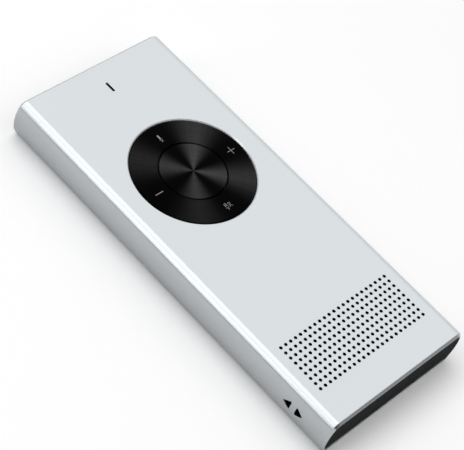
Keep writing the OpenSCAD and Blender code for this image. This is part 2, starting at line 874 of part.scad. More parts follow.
// Openings that lighten the web over the battery
module web_windows() {
    bay = (cell_y1 - cell_y0) / 2;
    for (i = [-2 : 2]) translate([i * rail_x / 3, (cell_y0 + cell_y1) / 2, 0])
        rotate(90) prism(rail_top - web_t - cut, rail_top + cut) slot(1.4 * bay, 3.6);
}

// Notch that lets the leads past rib A
module lead_notch() {
    reach = lead_pitch + 3 * lead_r;
    block([lead_x - reach, rib_a - cut, cell_z1 - 3],
          [lead_x + reach, rib_a + rib_t + cut, rail_top + cut]);
}

module chassis_frame() {
    along_y(-chassis_l, chassis_l) translate([-body_w / 2, 0]) difference() {
        square([body_w, body_t]);
        translate([body_w / 2 - rail_x, -cut]) square([2 * rail_x, body_t + 2 * cut]);
    }
    // Cross ribs
    crossbar(rib_a, rib_a + rib_t, seat_z, rail_top);
    crossbar(rib_b, rib_b + rib_t, seat_z, rail_top);
    crossbar(rib_c, rib_c + rib_t, seat_z, rail_top);
    crossbar(chassis_l - rib_t, chassis_l, flex_z + 0.3, port_z - port_h / 2 - 0.1);
    // Webs over the battery and behind the speaker
    crossbar(rib_b, rib_a + rib_t, rail_top - web_t, rail_top);
    crossbar(rib_c, rib_b + rib_t, speaker_z - web_t, speaker_z);
    // Ledges under the board's long edges
    for (s = [0, 1]) mirror([s, 0, 0])
        block([rail_x - ledge_w, rib_a, board_low - web_t], [rail_x + bite, chassis_l, board_low]);
    at_towers() disc(tower_r, seat_z, rail_top);
    // Board posts, each joined to its rail
    at_board_screws() disc(board_post_r, seat_z, board_low);
    for (s = [0, 1], y = board_screw_y) mirror([s, 0, 0])
        block([board_screw_x, y - rib_t / 2, seat_z], [rail_x + bite, y + rib_t / 2, board_low]);
}

module chassis() {
    color("#2b2e30") difference() {
        intersection() {
            along_y(-chassis_l, chassis_l) section(inner_r - chassis_gap, seat_z, rail_top, 0.3, 0.2);
            chassis_frame();
        }
        chassis_screw_space();
        at_board_screws() disc(board_screw_r + 0.02, seat_z + 1, board_low + cut, $fn = 48);
        web_windows();
        lead_notch();
        // Room for the pad's cup, should it reach the rails
        at_pad() disc(cup_out_r + board_gap / 2, board_low, rail_top + cut);
        // Hole for the speaker's yoke
        translate([0, grille_y, 0]) disc(yoke_out_r + 0.3, speaker_z - web_t - cut, speaker_z + cut);
        for (s = [0, 1]) mirror([s, 0, 0]) pocket_space();
    }
}

module chassis_screws() {
    color("silver") at_towers() difference() {
        union() {
            disc(screw_r, tower_web_z - 0.1, front_in - 0.6, $fn = 48);
            disc(screw_head_r, tower_web_z - screw_head_h, tower_web_z, $fn = 48);
        }
        disc(screw_head_r / 2, tower_web_z - screw_head_h - cut, tower_web_z - screw_head_h / 2,
             $fn = 6);
    }
}

// ---------- control pad ----------

// Bearing block that stands at the pivots' height, along X, between two heights
module bearing_block(z0, z1) {
    block([lug_in_r, -lug_h / 2, z0], [lug_out_r, lug_h / 2, z1]);
}

module keypad_base() {
    color("#202224") at_pad() difference() {
        union() {
            tube(cup_out_r, cup_in_r, board_top, front_in);
            disc(cup_in_r + bite, board_top, cup_floor_top);
            disc(hub_r, board_top, key_low - button_travel - plunger_play);
            // Keys that stop the button turning
            for (a = [0, 180]) rotate(a)
                block([hub_r - bite, -guide_key_w / 2, board_top],
                      [skirt_out_r + 0.3, guide_key_w / 2, key_low - button_travel - 0.3]);
            // Bearings of the pivot ring, on the long axis
            for (a = [90, 270]) rotate(a) {
                bearing_block(board_top, pivot_z);
                spoke(lug_h / 2, lug_in_r, lug_out_r);
            }
        }
        disc(hub_r - hub_wall, board_top - cut, key_low);
        at_icons() disc(dome_d / 2 + 0.3, board_top - cut, cup_floor_top + cut, $fn = 48);
        for (a = [90, 270]) rotate(a) spoke(pin_r + pin_fit, lug_in_r - cut, lug_out_r + cut);
    }
}

module pivot_ring() {
    color("silver") at_pad() difference() {
        union() {
            tube(pivot_out_r, pivot_in_r, pivot_z - pivot_h / 2, pivot_z + pivot_h / 2);
            for (a = [0 : 90 : 270]) rotate(a) intersection() {
                spoke(lug_h / 2, pivot_in_r - 1, pivot_out_r + 1);
                tube(pivot_out_r, pivot_in_r, pivot_z - lug_h, pivot_z + lug_h);
            }
        }
        for (a = [0 : 90 : 270]) rotate(a) spoke(pin_r, pivot_in_r - 1, pivot_out_r + 1);
    }
}

module pivot_pins() {
    color("gray") at_pad() for (a = [0 : 90 : 270]) rotate(a)
        spoke(pin_r, pivot_in_r + 0.1, lug_out_r - 0.1);
}

module ring_carrier() {
    color("#202224") at_pad() difference() {
        union() {
            tube(ring_out_r - 0.1, ring_in_r, key_low, key_mid);
            disc(flange_r, key_low, flange_top);
            at_icons() disc(plunger_r, dome_top + ring_drop + plunger_play, key_low + bite, $fn = 48);
            // Bearings on the pivot pins, on the short axis
            for (a = [0, 180]) rotate(a) {
                bearing_block(pivot_z, key_low + bite);
                spoke(lug_h / 2, lug_in_r, lug_out_r);
            }
        }
        disc(ring_step_r, key_low - cut, key_mid - ring_lip_t);
        disc(ring_in_r, key_low - cut, key_mid + cut);
        for (a = [0, 180]) rotate(a) spoke(pin_r + pin_fit, lug_in_r - cut, lug_out_r + cut);
    }
}

module ring_face() {
    color("#111111") at_pad() rotate_extrude() polygon([
        [ring_in_r, key_mid], [ring_out_r, key_mid], [ring_out_r, key_top - key_edge],
        [ring_out_r - key_edge, key_top], [ring_in_r + key_edge, key_top],
        [ring_in_r, key_top - key_edge]]);
}

module button_carrier() {
    color("#202224") at_pad() difference() {
        union() {
            disc(button_r - 0.2, key_low, key_mid);
            disc(button_flange_r, key_low, flange_top);
            tube(skirt_out_r, skirt_in_r, cup_floor_top + button_travel + 0.3, key_low + bite);
            disc(plunger_r + 0.3, dome_top + button_travel + plunger_play, key_low + bite, $fn = 48);
        }
        // Slots that ride on the hub's keys
        for (a = [0, 180]) rotate(a)
            block([skirt_in_r - 0.2, -guide_key_w / 2 - skirt_fit, board_top],
                  [skirt_out_r + 0.4, guide_key_w / 2 + skirt_fit, key_low - 0.05]);
    }
}

module button_face() {
    color("#111111") at_pad() rotate_extrude() polygon([
        [0, key_mid], [button_r, key_mid], [button_r, key_top - key_edge],
        [button_r - key_edge, key_top], [0, key_top]]);
}

// One dome: a pressed disc with a flat foot, a sloping skirt and a raised crown
module dome() {
    foot_r = dome_d / 2;
    skirt_r = 0.8 * foot_r;
    crown_r = 0.35 * foot_r;
    translate([0, 0, board_top]) rotate_extrude($fn = 64) polygon([
        [foot_r, 0], [foot_r, dome_t], [skirt_r, dome_t + 0.25 * dome_h], [crown_r, dome_h], [0, dome_h],
        [0, dome_h - dome_t], [crown_r, dome_h - dome_t], [skirt_r, 0.25 * dome_h], [foot_r - 0.15, 0]]);
}

module snap_domes() {
    color("gold") at_pad() {
        dome();
        at_icons() dome();
    }
}

// ---------- board ----------

module main_board() {
    color("#123c2a") difference() {
        prism(board_low, board_top) difference() {
            union() {
                translate([-board_x, board_y0]) square([2 * board_x, board_y1 - board_y0]);
                translate([-tongue_w / 2, board_y1 - 1]) square([tongue_w, tongue_y1 - board_y1 + 1]);
            }
            for (x = [-1, 1], y = tower_y) translate([x * tower_x, y]) circle(tower_r + board_gap);
            translate([-port_w / 2 - 0.1, port_y0 - 0.1]) square([port_w + 0.2, port_l]);
        }
        at_board_screws() disc(board_screw_r + 0.1, board_low - cut, board_top + cut, $fn = 48);
    }
}

module board_screws() {
    color("silver") at_board_screws() difference() {
        union() {
            disc(board_screw_r, board_low - board_screw_l, board_top + 0.1, $fn = 48);
            disc(board_head_r, board_top, board_top + board_head_h, $fn = 48);
        }
        disc(0.4 * board_head_r, board_top + board_head_h / 2, board_top + board_head_h + cut, $fn = 6);
    }
}

// A pressed lid with round upright corners and rows of holes
module shield_can() {
    low = board_low - can_h;
    color("silver") translate([0, can_y, 0]) difference() {
        prism(low, board_low) round_rect(can_w, can_l, 3 * can_t);
        prism(low + can_t, board_low + cut)
            round_rect(can_w - 2 * can_t, can_l - 2 * can_t, 2 * can_t);
        for (i = [-3 : 3], j = [-2 : 2]) translate([i * can_w / 8, j * can_l / 6, 0])
            disc(can_w / 40, low - cut, low + cut, $fn = 24);
    }
}

module chip(w, l, h, x, y) {
    block([x - w / 2, y - l / 2, board_low - h], [x + w / 2, y + l / 2, board_low]);
}

module processor() {
    color("#1c1c1e") chip(processor_w, processor_w, processor_h, 0, can_y);
}

module flash_memory() {
    color("#1c1c1e") chip(memory_w, memory_l, chip_h, 3.4 - board_screw_x, pad_y - memory_l);
}

module power_chip() {
    color("#1c1c1e") chip(power_w, power_w, chip_h, board_screw_x - 3.4, pad_y - 2 * power_w);
}

// Small parts in two rows under the board
module passives() {
    color("tan") for (i = [-3 : 3], j = [0, 1])
        chip(passive_w, passive_l, passive_w * 0.75,
             i * passive_pitch, pad_y - passive_drop - 2.5 * passive_l * j);
}

module status_led() {
    color("white") translate([0, slit_y, 0])
        block([-led_h, -1.5 * led_h, board_top], [led_h, 1.5 * led_h, board_top + led_h]);
}

// The socket's mouth: flat on top, leaning in at the bottom
module port_profile(w, h) {
    polygon([[-w / 2, h / 2], [w / 2, h / 2], [w / 2, -h / 8], [w / 2 - h / 3, -h / 2],
             [-w / 2 + h / 3, -h / 2], [-w / 2, -h / 8]]);
}

module usb_socket() {
    color("silver") union() {
        difference() {
            translate([0, 0, port_z]) along_y(port_y0, port_y0 + port_l) port_profile(port_w, port_h);
            translate([0, 0, port_z]) along_y(port_y0 + port_t, port_y0 + port_l + cut)
                port_profile(port_w - 2 * port_t, port_h - 2 * port_t);
        }
        // Feet that lie on the board
        for (s = [-1, 1]) block([s * (port_w / 2 + 0.5) - 0.7, port_y0 + 0.6, board_top],
                                [s * (port_w / 2 + 0.5) + 0.7, port_y0 + 2.8, board_top + 0.2]);
    }
}

module usb_tongue() {
    color("#202020") block([-contact_w / 2, port_y0 + port_t, port_z],
                           [contact_w / 2, port_y0 + port_l - port_sink, port_z + contact_t]);
}

module microphone() {
    color("goldenrod")
        block([mic_x - mic_w / 2, mic_y0, board_top], [mic_x + mic_w / 2, mic_y1, board_top + mic_h]);
}

// A rubber sleeve over the microphone that leads the sound in from the cap's hole
module microphone_boot() {
    half_w = mic_w / 2 + boot_wall;
    boot_top = board_top + mic_h + boot_wall;
    duct_y = board_y1 + 1.2;
    duct_z = board_top + mic_h + 0.3;
    color("#1a1a1a") translate([mic_x, 0, 0]) difference() {
        union() {
            block([-half_w, mic_y0 - boot_wall, board_top], [half_w, board_y1, boot_top]);
            block([-half_w, board_y1 - 0.1, port_z - mic_hole_r - 0.7],
                  [half_w, cap_plate_y, boot_top]);
        }
        block([-mic_w / 2, mic_y0, board_top - cut], [mic_w / 2, mic_y1, board_top + mic_h]);
        // The board's corner reaches into the boot
        block([-2 * half_w, mic_y0 - 2, board_low - cut], [2 * half_w, board_y1, board_top]);
        translate([0, 0, port_z]) along_y(board_y1 + 0.8, cap_plate_y + cut) circle(mic_hole_r, $fn = 32);
        wire([[0, duct_y, port_z], [0, duct_y, duct_z]], mic_hole_r);
        wire([[0, duct_y, duct_z], [0, (mic_y0 + mic_y1) / 2, duct_z]], 0.3);
    }
}

// ---------- battery ----------

module battery_cell() {
    color("silver") union() {
        translate([0, 0, (cell_z0 + cell_z1) / 2]) along_y(cell_y0, cell_y1 - terrace_l)
            round_rect(cell_w, cell_t, cell_r);
        block([terrace_inset - cell_w / 2, cell_y1 - terrace_l - 0.1, cell_z0 + 1.6],
              [cell_w / 2 - terrace_inset, cell_y1 - 0.2, cell_z0 + 2]);
    }
}

module battery_board() {
    half_w = cell_w / 2 - terrace_inset - 1;
    color("#123c2a") block([-half_w, cell_y1 - terrace_l + 0.2, cell_z0 + 2],
                           [half_w, cell_y1 - 0.2, cell_z0 + 2.8]);
}

module battery_tape() {
    color("white") for (s = [-1, 1])
        translate([s * (cell_w / 2 - strip_inset), (cell_y0 + cell_y1 - terrace_l) / 2, 0])
            prism(cell_z1, cell_z1 + tape_t)
                square([strip_w, cell_y1 - cell_y0 - terrace_l - 2], center = true);
}

// A socket for the two leads, open towards the battery
module battery_connector() {
    half_w = 5.5 * lead_r;
    top = board_top + 4 * lead_r;
    wall = 0.3;
    color("ivory") translate([lead_x, board_y0, 0]) difference() {
        block([-half_w, 0.6, board_top], [half_w, 3.4, top]);
        block([wall - half_w, 0.2, board_top + wall], [half_w - wall, 2, top - wall]);
    }
}

module battery_leads() {
    lead_z = board_top + 2 * lead_r;
    for (s = [-1, 1]) color(s < 0 ? "red" : "black") translate([lead_x + s * lead_pitch, 0, 0]) wire([
        [0, cell_y1 - 1, cell_z0 + 2.8],
        [0, cell_y1 - 1, cell_z1 - 1.2],
        [0, rib_a + rib_t / 2, lead_z],
        [0, board_y0 + 2, lead_z]], lead_r);
}

// ---------- speaker ----------

// A shape with a straight middle and round ends, swept from half of its section in R and Z
module racetrack(c) {
    for (s = [0, 1]) mirror([s, 0, 0])
        translate([c, 0, 0]) rotate(-90) rotate_extrude(angle = 180) children();
    translate([-c, 0, 0]) rotate([90, 0, 90]) linear_extrude(2 * c) {
        children();
        mirror([1, 0]) children();
    }
}

// The same outline as a flat plate
module racetrack_plate(r, z0, z1) {
    prism(z0, z1) slot(2 * (cone_c + r), 2 * r);
}

module speaker_frame() {
    color("#3a3d40") translate([0, grille_y, 0]) difference() {
        prism(speaker_z, speaker_top) round_rect(speaker_w, speaker_l, 2);
        racetrack_plate(cone_r + 0.05, cone_z, speaker_top + cut);
        racetrack_plate(cone_r - cone_rim, speaker_z + 0.6, cone_z + cut);
        disc(yoke_in_r + 0.2, speaker_z - cut, speaker_z + 1);
        // Breathing holes behind the cone
        for (s = [-1, 1], i = [0 : 2])
            translate([s * (yoke_out_r + 1.25 * vent_pitch + vent_pitch * i), 0, 0])
                rotate(90) prism(speaker_z - cut, speaker_z + 1) slot(0.4 * speaker_l, 0.6 * vent_pitch);
    }
}

// Half of the cone's section: flat rim, half-round roll, sloping cone and centre dome
module cone_section() {
    foot = coil_r - 0.1;
    roll_x = roll_c - roll_r;
    crown = cone_z - 0.15;
    translate([cone_r - cone_rim, cone_z]) square([cone_rim, film_t]);
    intersection() {
        translate([roll_c, cone_z]) difference() {
            circle(roll_r + film_t / 2, $fn = 48);
            circle(roll_r - film_t / 2, $fn = 48);
        }
        translate([roll_c - 2 * roll_r, cone_z]) square([4 * roll_r, 2 * roll_r]);
    }
    polygon([[roll_x - film_t, cone_z + film_t], [roll_x + film_t / 2, cone_z + film_t],
             [roll_x + film_t / 2, cone_z], [foot + 0.6, cone_low], [foot, cone_low],
             [foot, cone_low + film_t]]);
    polygon([[0, crown], [foot * 0.6, crown - 0.2], [foot + 0.1, cone_low],
             [foot + 0.1, cone_low + film_t], [foot * 0.6, crown - 0.2 + film_t], [0, crown + film_t]]);
}

module speaker_cone() {
    color("#222222") translate([0, grille_y, 0]) racetrack(cone_c) cone_section();
}

module voice_coil() {
    color("#b87333") translate([0, grille_y, 0])
        tube(coil_r + coil_t, coil_r, speaker_z - magnet_t / 2, cone_low, $fn = 64);
}

module speaker_yoke() {
    color("silver") translate([0, grille_y, 0]) union() {
        tube(yoke_out_r, yoke_in_r, yoke_z + yoke_floor - 0.1, speaker_z);
        disc(yoke_out_r, yoke_z, yoke_z + yoke_floor);
    }
}

module speaker_magnet() {
    z0 = yoke_z + yoke_floor;
    color("gray") translate([0, grille_y, 0]) disc(magnet_r, z0, z0 + magnet_t + pole_rise);
}

module speaker_gasket() {
    color("#0c0c0c") translate([0, grille_y, 0]) prism(speaker_top, gasket_top) difference() {
        round_rect(speaker_w, speaker_l, 2);
        round_rect(speaker_w - 2, speaker_l - 2, 1.2);
    }
}

module speaker_leads() {
    lead_z = rail_top + speaker_lead_r + 0.05;
    pitch = speaker_lead_r + 0.2;
    for (s = [-1, 1]) color(s < 0 ? "red" : "black") translate([s * pitch - lead_x, 0, 0]) wire([
        [0, speaker_y1, lead_z],
        [0, board_y0 + 1.2, lead_z],
        [0, board_y0 + 1.2, board_top]], speaker_lead_r);
}

// ---------- antenna ----------

module antenna_flex() {
    color("#c98a2b") block([-flex_x, flex_y1 - flex_l, flex_z], [flex_x, flex_y1, flex_z + flex_t]);
}

module antenna_cable() {
    y0 = flex_y1 - flex_l - 2 * cable_r;
    y1 = flex_y1 - flex_l / 2 + 0.1;
    color("black") translate([cable_x, 0, 0]) wire([
        [0, y1, flex_z + flex_t],
        [0, y1, flex_z + 4 * cable_r],
        [0, y0, board_low - 0.7],
        [0, y0, board_low]], cable_r);
}

front_shell();
back_cover();
cover_tape();
antenna_window();
top_end_cap();
bottom_end_cap();
light_guide();
grille_mesh();
strap_pocket_left();
strap_pocket_right();
chassis();
chassis_screws();
keypad_base();
pivot_ring();
pivot_pins();
ring_carrier();
ring_face();
button_carrier();
button_face();
snap_domes();
main_board();
board_screws();
shield_can();
processor();
flash_memory();
power_chip();
passives();
status_led();
usb_socket();
usb_tongue();
microphone();
microphone_boot();
battery_cell();
battery_board();
battery_tape();
battery_leads();
battery_connector();
speaker_frame();
speaker_cone();
voice_coil();
speaker_yoke();
speaker_magnet();
speaker_gasket();
speaker_leads();
antenna_flex();
antenna_cable();
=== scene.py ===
import math

import bmesh
import bpy
from mathutils import Matrix, Vector


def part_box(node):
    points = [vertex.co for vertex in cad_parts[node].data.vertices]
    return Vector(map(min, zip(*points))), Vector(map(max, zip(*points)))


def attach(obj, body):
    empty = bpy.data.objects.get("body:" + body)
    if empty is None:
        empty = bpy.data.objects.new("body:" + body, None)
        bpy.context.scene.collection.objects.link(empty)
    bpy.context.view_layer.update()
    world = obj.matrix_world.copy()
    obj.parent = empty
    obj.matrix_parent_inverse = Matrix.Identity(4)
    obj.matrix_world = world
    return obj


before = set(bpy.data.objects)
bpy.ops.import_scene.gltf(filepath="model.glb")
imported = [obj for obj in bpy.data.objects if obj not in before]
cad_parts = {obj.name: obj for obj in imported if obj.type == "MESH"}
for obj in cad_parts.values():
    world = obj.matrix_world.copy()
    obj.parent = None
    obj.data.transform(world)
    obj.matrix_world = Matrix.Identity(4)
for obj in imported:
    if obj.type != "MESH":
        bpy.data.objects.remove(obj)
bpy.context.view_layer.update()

# Finishes and icons are worked out in millimetres, and the camera, floor and lamps in metres
MM = 0.001

# The shell's sides bulge round a line inside the body: their radius, and the line's height
SIDE_RADIUS = 10.7
SIDE_HEIGHT = 6.6

# Where the bare bevels begin, measured from the shell's two ends
BARE_END = 0.62

# A wall that lies this far under the face, or under the side, is inside a hole and gets painted shade
UNDER_FACE = 0.03
UNDER_SIDE = 0.12


# ---------- camera ----------

def add_camera():
    """The photograph's view: a long lens, half from above, turned about its own axis."""
    target = Vector((0.00103, 0.00164, 0.0063))
    distance = 0.46179
    # From the near end round to the left, up from the floor, and about the lens's axis
    around, above, roll = math.radians(-61.645), math.radians(49.575), math.radians(22.864)
    turn = (Matrix.Rotation(around, 3, "Z") @ Matrix.Rotation(math.pi / 2 - above, 3, "X")
            @ Matrix.Rotation(roll, 3, "Z"))
    data = bpy.data.cameras.new("camera")
    data.sensor_width = 36
    data.lens = 135.45
    data.clip_start, data.clip_end = 0.01, 50
    camera = bpy.data.objects.new("camera", data)
    camera.matrix_world = Matrix.Translation(target + turn.col[2] * distance) @ turn.to_4x4()
    bpy.context.scene.collection.objects.link(camera)
    bpy.context.scene.camera = camera


# ---------- node trees ----------

class Tree:
    """A node tree with one short call for each kind of node that the finishes use."""

    def __init__(self, tree):
        self.tree = tree
        tree.nodes.clear()

    def node(self, kind, **settings):
        n = self.tree.nodes.new(kind)
        for name, value in settings.items():
            setattr(n, name, value)
        return n

    def put(self, socket, value):
        """Links an output to a socket, or sets the socket to a plain value."""
        if isinstance(value, bpy.types.NodeSocket):
            self.tree.links.new(value, socket)
        else:
            socket.default_value = value

    def math(self, operation, a, b=0.0, clamp=False):
        n = self.node("ShaderNodeMath", operation=operation, use_clamp=clamp)
        self.put(n.inputs[0], a)
        self.put(n.inputs[1], b)
        return n.outputs[0]

    def plus(self, a, b, clamp=False):
        return self.math("ADD", a, b, clamp)

    def minus(self, a, b):
        return self.math("SUBTRACT", a, b)

    def times(self, a, b):
        return self.math("MULTIPLY", a, b)

    def length(self, a, b):
        """The length of the flat vector (a, b)."""
        return self.math("SQRT", self.plus(self.math("POWER", a, 2), self.math("POWER", b, 2)))

    def between(self, value, low, high):
        """1 between low and high, and 0 elsewhere."""
        return self.times(self.math("GREATER_THAN", value, low), self.math("LESS_THAN", value, high))

    def place(self):
        """Coordinates of the object itself, in millimetres."""
        n = self.node("ShaderNodeVectorMath", operation="SCALE")
        self.put(n.inputs[0], self.node("ShaderNodeTexCoord").outputs["Object"])
        n.inputs["Scale"].default_value = 1 / MM
        return n.outputs[0]

    def parts(self, vector):
        n = self.node("ShaderNodeSeparateXYZ")
        self.put(n.inputs[0], vector)
        return n.outputs

    def vector(self, x, y=0.0, z=0.0):
        n = self.node("ShaderNodeCombineXYZ")
        for socket, value in zip(n.inputs, (x, y, z)):
            self.put(socket, value)
        return n.outputs[0]

    def noise(self, place, size, detail=2.0, rough=0.5):
        """Noise from 0 to 1 whose blotches are about size millimetres across."""
        n = self.node("ShaderNodeTexNoise")
        self.put(n.inputs["Vector"], place)
        n.inputs["Scale"].default_value = 1 / size
        n.inputs["Detail"].default_value = detail
        n.inputs["Roughness"].default_value = rough
        return n.outputs["Fac"]

    def span(self, value, low, high, to_low=0.0, to_high=1.0, smooth=False):
        """Maps low..high to to_low..to_high, held at the ends."""
        n = self.node("ShaderNodeMapRange", clamp=True)
        if smooth:
            n.interpolation_type = "SMOOTHSTEP"
        for socket, v in zip(n.inputs, (value, low, high, to_low, to_high)):
            self.put(socket, v)
        return n.outputs[0]

    def spread(self, noise, to_low=0.0, to_high=1.0):
        """Stretches a noise, which mostly lies within 0.3..0.7, over to_low..to_high."""
        return self.span(noise, 0.3, 0.7, to_low, to_high)

    def mix(self, share, a, b):
        """A colour between a and b."""
        n = self.node("ShaderNodeMix", data_type="RGBA")
        # The node has sockets for every kind of value, and these are the colours'
        colour_a, colour_b, result = n.inputs[6], n.inputs[7], n.outputs[2]
        self.put(n.inputs[0], share)
        self.put(colour_a, (*a, 1) if isinstance(a, tuple) else a)
        self.put(colour_b, (*b, 1) if isinstance(b, tuple) else b)
        return result

    def bump(self, height, depth, normal=None):
        """A bump of that depth in millimetres."""
        n = self.node("ShaderNodeBump")
        n.inputs["Distance"].default_value = depth * MM
        self.put(n.inputs["Height"], height)
        if normal is not None:
            self.put(n.inputs["Normal"], normal)
        return n.outputs[0]

    def soft_edges(self, radius):
        """The normal with edges rounded to a radius in millimetres."""
        n = self.node("ShaderNodeBevel", samples=4)
        n.inputs["Radius"].default_value = radius * MM
        return n.outputs[0]


SOCKETS = {"anisotropic": "Anisotropic", "coat_weight": "Coat Weight", "specular": "Specular IOR Level"}


class Finish(Tree):
    """A material: a Principled shader with its colour, roughness and normal from the nodes."""

    def __init__(self, name, metal=0.0, **uniform):
        self.material = bpy.data.materials.new(name)
        self.material.use_nodes = True
        super().__init__(self.material.node_tree)
        self.shader = self.node("ShaderNodeBsdfPrincipled")
        out = self.node("ShaderNodeOutputMaterial")
        self.tree.links.new(self.shader.outputs[0], out.inputs["Surface"])
        self.shader.inputs["Metallic"].default_value = metal
        for key, value in uniform.items():
            self.shader.inputs[SOCKETS[key]].default_value = value
        self.at = self.place()

    def set(self, colour, rough, normal):
        for key, value in (("Base Color", colour), ("Roughness", rough), ("Normal", normal)):
            self.put(self.shader.inputs[key], value)


def grey(k):
    return (k, k, k)


def shaded(colour, k):
    return tuple(c * k for c in colour)


# ---------- finishes ----------

def moulded(name, colour, rough, grain, depth, vary=0.12, edge=None, **uniform):
    """A moulded or cast surface: fine grain, uneven gloss, and faint patches of colour."""
    f = Finish(name, **uniform)
    fine = f.noise(f.at, grain, detail=3)
    patches = f.noise(f.at, 6.0, detail=4, rough=0.6)
    tone = f.mix(f.span(patches, 0.35, 0.65), shaded(colour, 1 - vary), shaded(colour, 1 + vary))
    f.set(
        colour=f.mix(f.spread(fine, 0, 0.35), tone, shaded(colour, 1 + 2 * vary)),
        rough=f.plus(f.spread(patches, -0.04, 0.04), f.spread(fine, rough - 0.04, rough + 0.04)),
        normal=f.bump(fine, depth, f.soft_edges(edge) if edge else None),
    )
    return f


def metal(name, colour, rough, grain, depth, stretch=None):
    """A metal surface with grain, which stretch=(x, y, z) draws out into brush lines."""
    f = Finish(name, metal=1.0)
    at = f.at
    if stretch:
        at = f.vector(*(f.times(v, 1 / s) for v, s in zip(f.parts(f.at), stretch)))
    fine = f.noise(at, grain, detail=3)
    patches = f.noise(f.at, 9.0, detail=3)
    f.set(
        colour=f.mix(f.spread(patches), shaded(colour, 0.94), shaded(colour, 1.06)),
        rough=f.plus(f.spread(patches, -0.03, 0.03), f.spread(fine, rough - 0.06, rough + 0.06)),
        normal=f.bump(fine, depth),
    )
    return f


def painted_hole_shade(f, x, y, z):
    """1 on the walls of the grille's holes, the indicator's slit and the strap's eyelets, which get painted
    shade, and 0 elsewhere.
    """
    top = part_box("front_shell")[1]
    mesh_low, mesh_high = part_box("grille_mesh")
    slit_low, slit_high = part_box("light_guide")
    pocket_low, pocket_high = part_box("strap_pocket_right")
    # Openings in the face, from just under it down to the mesh
    below = f.between(z, mesh_high.z / MM, top.z / MM - UNDER_FACE)
    near_middle = f.math("LESS_THAN", f.math("ABSOLUTE", x), mesh_high.x / MM)
    at_grille = f.between(y, mesh_low.y / MM, mesh_high.y / MM)
    at_slit = f.between(y, slit_low.y / MM, slit_high.y / MM)
    face = f.times(f.times(below, near_middle), f.plus(at_grille, at_slit, clamp=True))
    # Openings in the sides
    out = f.minus(f.math("ABSOLUTE", x), top.x / MM - SIDE_RADIUS)
    deep = f.length(out, f.minus(z, SIDE_HEIGHT))
    inside = f.times(f.math("LESS_THAN", deep, SIDE_RADIUS - UNDER_SIDE), f.math("GREATER_THAN", out, 0.0))
    at_pocket = f.times(f.between(y, pocket_low.y / MM, pocket_high.y / MM),
                        f.between(z, pocket_low.z / MM, pocket_high.z / MM))
    return f.plus(face, f.times(inside, at_pocket), clamp=True)


def anodised(name, colour):
    """Bead-blasted silver anodising: tiny dimples and a fine sparkle. The walls inside the drilled holes are
    painted near black as shade.
    """
    f = Finish(name)
    dimples = f.noise(f.at, 0.16, detail=2, rough=0.6)
    sparkle = f.noise(f.at, 0.34, detail=2, rough=0.7)
    sheen = f.noise(f.at, 22.0, detail=3)
    x, y, z = f.parts(f.at)
    tone = f.mix(f.spread(sheen), shaded(colour, 0.985), shaded(colour, 1.01))
    tone = f.mix(f.span(sparkle, 0.35, 0.7), shaded(colour, 0.975), tone)
    # The bevels round the two ends are cut after anodising, so they are bare metal
    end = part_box("front_shell")[1].y / MM - BARE_END
    bare = f.span(f.math("ABSOLUTE", y), end - 0.05, end + 0.05)
    f.put(f.shader.inputs["Metallic"], f.span(bare, 0, 1, 0.28, 0.9))
    # Painted shade: the walls inside the holes, the slit and the eyelets are coloured near black
    f.set(
        colour=f.mix(painted_hole_shade(f, x, y, z), tone, grey(0.006)),
        rough=f.plus(f.spread(dimples, 0.17, 0.24), f.spread(sheen, -0.02, 0.02)),
        normal=f.bump(dimples, 0.003, f.soft_edges(0.2)),
    )
    return f


def spun(name):
    """Black spun metal: hair-fine rings round the middle of the pad, and four fans of painted highlight in
    its colour.
    """
    f = Finish(name, metal=1.0, anisotropic=0.8)
    tangent = f.node("ShaderNodeTangent", direction_type="RADIAL", axis="Z").outputs[0]
    f.put(f.shader.inputs["Tangent"], tangent)
    low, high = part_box("button_face")
    middle = (low + high) / 2 / MM
    button_radius = (high.x - low.x) / 2 / MM
    x, y, _ = f.parts(f.at)
    dx, dy = f.minus(x, middle.x), f.minus(y, middle.y)
    away = f.length(dx, dy)
    turn = f.math("ARCTAN2", dy, dx)
    on_button = f.math("LESS_THAN", away, button_radius + 0.1)
    rings = f.noise(f.vector(away), 0.25, detail=3, rough=0.7)
    bands = f.noise(f.vector(away, 5.0), 1.3, detail=3, rough=0.6)
    streaks = f.noise(f.vector(f.times(turn, 12.0)), 1.0, detail=3, rough=0.7)
    # Four painted highlights, fans drawn into the colour, point towards the corners of the body. The one at
    # the angle straight points right at its corner, and the others lean, the opposite one most.
    straight = 0.78
    lean = f.times(f.minus(f.math("COSINE", f.minus(turn, straight)), 1.0), 0.05)
    painted_fans = f.math("SINE", f.times(f.plus(turn, lean), 2.0))
    painted_fans = f.math("POWER", f.math("ABSOLUTE", painted_fans), f.span(on_button, 0, 1, 4.4, 3.8))
    painted_fans = f.times(painted_fans, f.spread(streaks, 0.84, 1.16))
    # The painted fans fade on both sides of the angle brightest, more on the ring than on the button
    brightest = 0.26
    dimmest = f.span(on_button, 0, 1, 0.26, 0.6)
    uneven = f.span(f.math("COSINE", f.minus(turn, brightest)), -1, 1, dimmest, 1.0)
    painted_fan_peak = f.times(uneven, f.span(on_button, 0, 1, 0.045, 0.067))
    # Painted highlight: the fans are drawn into the colour over a near-black ground
    tone = f.plus(f.times(painted_fans, painted_fan_peak), 0.001)
    grain = f.plus(f.span(bands, 0.35, 0.65, 0.9, 1.1), f.span(rings, 0.35, 0.65, -0.06, 0.06))
    tone = f.times(tone, grain)
    f.set(
        colour=f.vector(tone, tone, f.times(tone, 1.02)),
        rough=f.plus(f.spread(bands, -0.03, 0.03), f.spread(rings, 0.46, 0.54)),
        normal=f.bump(rings, 0.0015, f.soft_edges(0.15)),
    )
    return f


